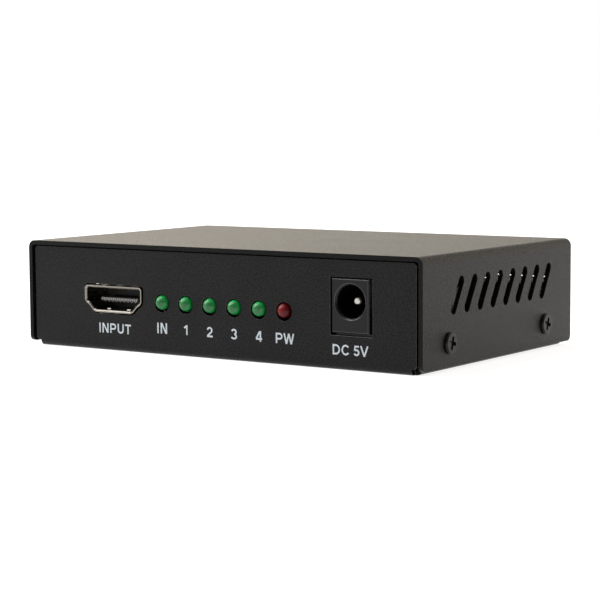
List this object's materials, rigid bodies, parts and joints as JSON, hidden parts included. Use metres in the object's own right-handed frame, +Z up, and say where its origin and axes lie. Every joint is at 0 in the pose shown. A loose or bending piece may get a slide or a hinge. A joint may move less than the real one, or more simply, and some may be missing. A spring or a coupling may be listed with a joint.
{
  "type": "hdmi splitter",
  "caption": "Flat folded-metal box with one HDMI socket, lamps and a power jack in front, HDMI sockets at the rear and slanted vents in the sides.",
  "frame": {"origin": "on the underside of the case, at the middle of the cover's footprint", "axes": "+X along the front to the power jack's end, -Y out of the front with the input socket, +Z up"},
  "size_m": [0.0972, 0.0608, 0.022],
  "materials": {
    "case_paint": "fine textured powder coat, black",
    "screw_metal": "black oxide",
    "standoff_metal": "zinc plated",
    "shell_metal": "nickel plated, satin",
    "socket_plastic": "moulded, satin",
    "contact_metal": "gold plated",
    "jack_plastic": "moulded, fine texture",
    "pin_metal": "nickel plated",
    "spring_metal": "tin plated",
    "green_lens": "clear green, moulded",
    "red_lens": "clear red, moulded",
    "lead_metal": "tinned",
    "board_laminate": "green solder mask, satin",
    "chip_plastic": "moulded, matt",
    "pad_rubber": "matt",
    "heat_sink_metal": "black anodised",
    "crystal_can": "satin",
    "ferrite": "matt",
    "capacitor_can": "satin",
    "capacitor_ceramic": "satin",
    "resistor_ceramic": "satin"
  },
  "bodies": {
    "root": {"top_cover": "case_paint", "base_tray": "case_paint", "cover_screws": "screw_metal", "board_standoffs": "standoff_metal", "board_screws": "standoff_metal", "circuit_board": "board_laminate", "input_shell": "shell_metal", "input_insulator": "socket_plastic", "input_contacts": "contact_metal", "output_1_shell": "shell_metal", "output_1_insulator": "socket_plastic", "output_1_contacts": "contact_metal", "output_2_shell": "shell_metal", "output_2_insulator": "socket_plastic", "output_2_contacts": "contact_metal", "output_3_shell": "shell_metal", "output_3_insulator": "socket_plastic", "output_3_contacts": "contact_metal", "output_4_shell": "shell_metal", "output_4_insulator": "socket_plastic", "output_4_contacts": "contact_metal", "jack_body": "jack_plastic", "jack_centre_pin": "pin_metal", "jack_sleeve_spring": "spring_metal", "jack_switch_contact": "spring_metal", "input_lamp": "green_lens", "output_1_lamp": "green_lens", "output_2_lamp": "green_lens", "output_3_lamp": "green_lens", "output_4_lamp": "green_lens", "power_lamp": "red_lens", "lamp_leads": "lead_metal", "splitter_chip": "chip_plastic", "thermal_pad": "pad_rubber", "heat_sink": "heat_sink_metal", "controller_chip": "chip_plastic", "clock_crystal": "crystal_can", "regulator_chips": "chip_plastic", "power_inductor": "ferrite", "filter_capacitors": "capacitor_can", "surge_arrays": "chip_plastic", "chip_capacitors": "capacitor_ceramic", "chip_resistors": "resistor_ceramic"}
  },
  "joints": []
}
